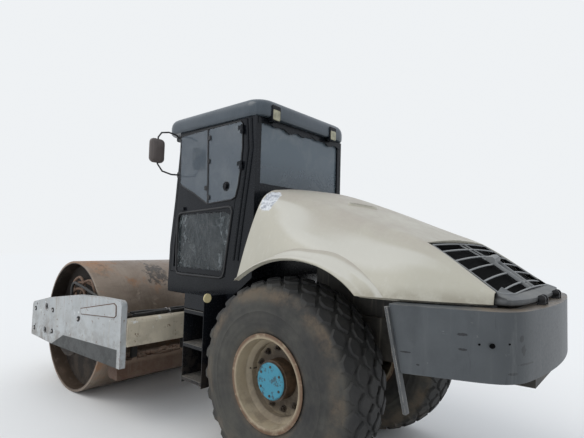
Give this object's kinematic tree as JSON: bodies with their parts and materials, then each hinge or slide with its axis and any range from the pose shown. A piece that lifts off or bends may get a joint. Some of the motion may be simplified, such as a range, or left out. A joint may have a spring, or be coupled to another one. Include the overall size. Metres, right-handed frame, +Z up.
{
  "type": "single-drum road roller",
  "caption": "Self-propelled soil compactor: smooth steel drum in an articulated frame, closed cab, sloping hood and lugged rear tyres.",
  "frame": {"origin": "on the ground below the middle of the machine's length and width", "axes": "+X towards the drum, +Y to the driver's left, +Z up"},
  "size_m": [5.7398, 2.35, 3.082],
  "materials": {
    "cream_paint": "satin cream paint, dusty",
    "black_paint": "satin black paint",
    "grey_paint": "scuffed mid-grey paint",
    "white_paint": "weathered pale grey paint",
    "rusty_steel": "worn rusty steel",
    "muddy_steel": "rusty steel under dried mud",
    "tyre_rubber": "dusty black rubber",
    "rim_paint": "cream paint with rust stains",
    "hub_paint": "worn blue paint",
    "tinted_glass": "tinted safety glass",
    "grille_plastic": "grey-black moulded plastic",
    "seat_cover": "dark woven cover",
    "hose_rubber": "black hydraulic hose",
    "engine_iron": "oily cast iron",
    "lamp_lens": "yellowed lamp lens",
    "frame_paint": "dusty black frame paint",
    "chrome_rod": "ground and plated rod"
  },
  "bodies": {
    "rear_frame": {"rear_chassis": "frame_paint", "rear_bumper": "grey_paint", "bumper_stay_left": "grey_paint", "bumper_stay_right": "grey_paint", "rear_axle": "frame_paint", "engine_block": "engine_iron", "radiator": "engine_iron", "side_tanks": "frame_paint", "cab_platform": "black_paint", "cab_frame": "black_paint", "cab_roof": "black_paint", "cab_glass": "tinted_glass", "seat": "seat_cover", "console": "grille_plastic", "steps_left": "black_paint", "steps_right": "black_paint", "mirror_left": "black_paint", "mirror_right": "black_paint", "work_lamps": "lamp_lens"},
    "yoke": {"pivot_yoke": "frame_paint"},
    "front_frame": {"side_plate_left": "white_paint", "side_plate_right": "white_paint", "rear_crossmember": "cream_paint", "front_beam": "cream_paint", "scraper_bar": "muddy_steel", "drum_carrier_left": "muddy_steel", "drum_carrier_right": "muddy_steel", "hydraulic_hoses": "hose_rubber"},
    "drum": {"drum_shell": "rusty_steel", "drum_heads": "muddy_steel"},
    "wheel_left": {"tyre_left": "tyre_rubber", "rim_left": "rim_paint", "hub_left": "hub_paint"},
    "wheel_right": {"tyre_right": "tyre_rubber", "rim_right": "rim_paint", "hub_right": "hub_paint"},
    "hood": {"hood_shell": "cream_paint", "grille": "grille_plastic"},
    "door_left": {"door_left": "black_paint", "door_glass_left": "tinted_glass"},
    "door_right": {"door_right": "black_paint", "door_glass_right": "tinted_glass"},
    "barrel_left": {"steer_barrel_left": "frame_paint"},
    "barrel_right": {"steer_barrel_right": "frame_paint"},
    "rod_left": {"steer_rod_left": "chrome_rod"},
    "rod_right": {"steer_rod_right": "chrome_rod"}
  },
  "joints": [
    {"name": "steering", "type": "hinge", "parent": "rear_frame", "child": "yoke", "pos_m": [0, 0, 0.86], "axis": [0, 0, 1], "range_deg": [-38, 38]},
    {"name": "oscillation", "type": "hinge", "parent": "yoke", "child": "front_frame", "pos_m": [0.51, 0, 0.86], "axis": [1, 0, 0], "range_deg": [-15, 15]},
    {"name": "drum_spin", "type": "hinge", "parent": "front_frame", "child": "drum", "pos_m": [1.89, 0, 0.75], "axis": [0, 1, 0], "continuous": true},
    {"name": "wheel_left_spin", "type": "hinge", "parent": "rear_frame", "child": "wheel_left", "pos_m": [-1.15, 0.673, 0.765], "axis": [0, 1, 0], "continuous": true},
    {"name": "wheel_right_spin", "type": "hinge", "parent": "rear_frame", "child": "wheel_right", "pos_m": [-1.15, -0.673, 0.765], "axis": [0, 1, 0], "continuous": true},
    {"name": "hood_lift", "type": "hinge", "parent": "rear_frame", "child": "hood", "pos_m": [-2.8, 0, 1.497], "axis": [0, -1, 0], "range_deg": [0, 60]},
    {"name": "door_left_swing", "type": "hinge", "parent": "rear_frame", "child": "door_left", "pos_m": [-0.518, 0.671, 2.6], "axis": [0, 0, 1], "range_deg": [0, 85]},
    {"name": "door_right_swing", "type": "hinge", "parent": "rear_frame", "child": "door_right", "pos_m": [-0.518, -0.671, 2.6], "axis": [0, 0, -1], "range_deg": [0, 85]},
    {"name": "barrel_left_swing", "type": "hinge", "parent": "rear_frame", "child": "barrel_left", "pos_m": [-0.72, 0.2, 0.86], "axis": [0, 0, 1], "range_deg": [-5, 5]},
    {"name": "rod_left_slide", "type": "slide", "parent": "barrel_left", "child": "rod_left", "axis": [1, 0, 0], "range_m": [-0.13, 0.13]},
    {"name": "barrel_right_swing", "type": "hinge", "parent": "rear_frame", "child": "barrel_right", "pos_m": [-0.72, -0.2, 0.86], "axis": [0, 0, 1], "range_deg": [-5, 5]},
    {"name": "rod_right_slide", "type": "slide", "parent": "barrel_right", "child": "rod_right", "axis": [1, 0, 0], "range_m": [-0.13, 0.13]}
  ],
  "couplings": [
    {"joint": "barrel_left_swing", "follows": "steering", "ratio": -0.0157},
    {"joint": "rod_left_slide", "follows": "steering", "m_per_rad": -0.1851},
    {"joint": "barrel_right_swing", "follows": "steering", "ratio": -0.0157},
    {"joint": "rod_right_slide", "follows": "steering", "m_per_rad": 0.1851}
  ]
}
